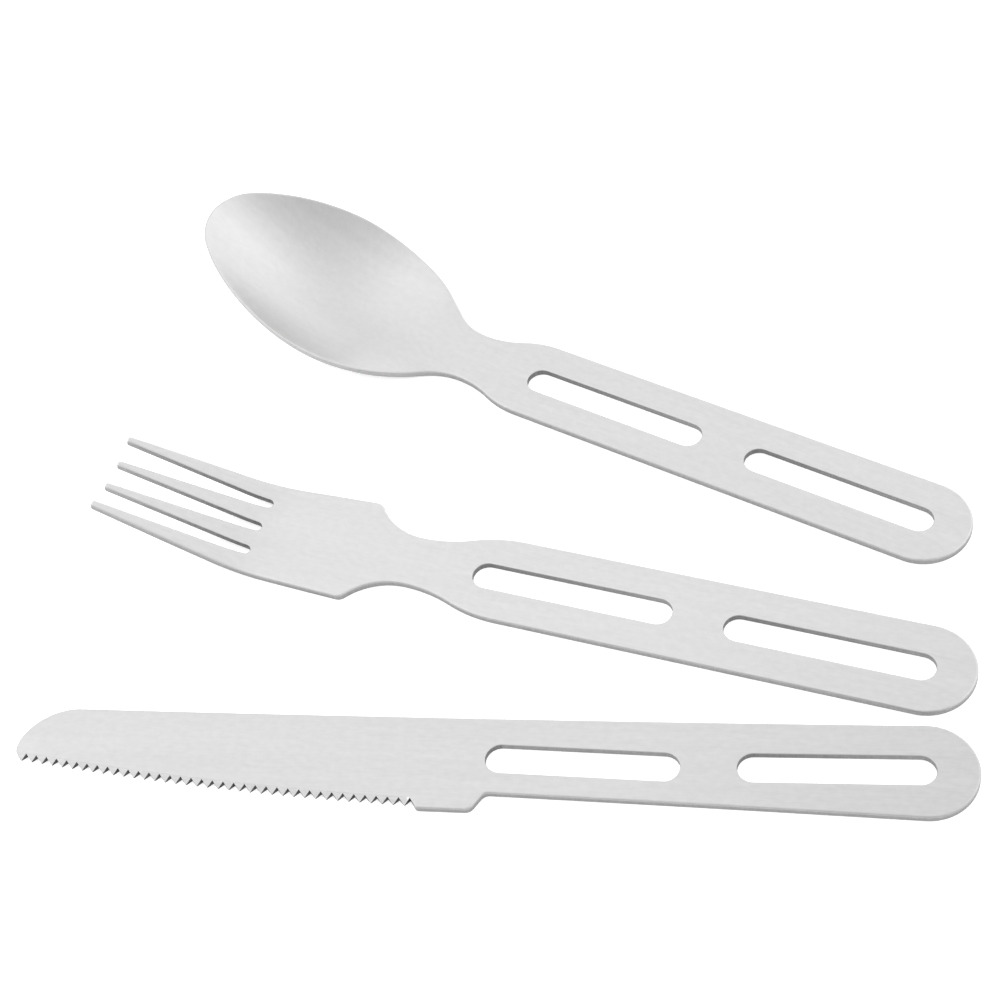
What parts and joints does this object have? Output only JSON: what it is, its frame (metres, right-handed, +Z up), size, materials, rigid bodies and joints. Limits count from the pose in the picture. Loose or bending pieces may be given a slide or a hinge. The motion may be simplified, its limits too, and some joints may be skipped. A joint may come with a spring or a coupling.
{
  "type": "picnic cutlery set",
  "caption": "Flat stamped stainless picnic cutlery: serrated knife, tined fork and round-bowled spoon, each with long slots through a round-ended handle.",
  "frame": {"origin": "centre of the bounding box at its base, the level that all three pieces lie on", "axes": "+X along the fork from its tines to its handle end, +Z up from the table, +Y from the knife's side to the spoon's"},
  "size_m": [0.1926, 0.1458, 0.0211],
  "materials": {
    "knife_steel": "fine lengthwise brushed stainless sheet, tumbled edges",
    "fork_steel": "fine lengthwise brushed stainless sheet, tumbled edges",
    "spoon_steel": "fine lengthwise brushed stainless sheet, tumbled edges"
  },
  "bodies": {
    "knife": {"knife": "knife_steel"},
    "fork": {"fork": "fork_steel"},
    "spoon": {"spoon": "spoon_steel"}
  },
  "joints": [
    {"name": "fork_lift", "type": "slide", "parent": "knife", "child": "fork", "axis": [0, 0, 1], "range_m": [0, 0.15]},
    {"name": "spoon_lift", "type": "slide", "parent": "knife", "child": "spoon", "axis": [0, 0, 1], "range_m": [0, 0.15]}
  ]
}
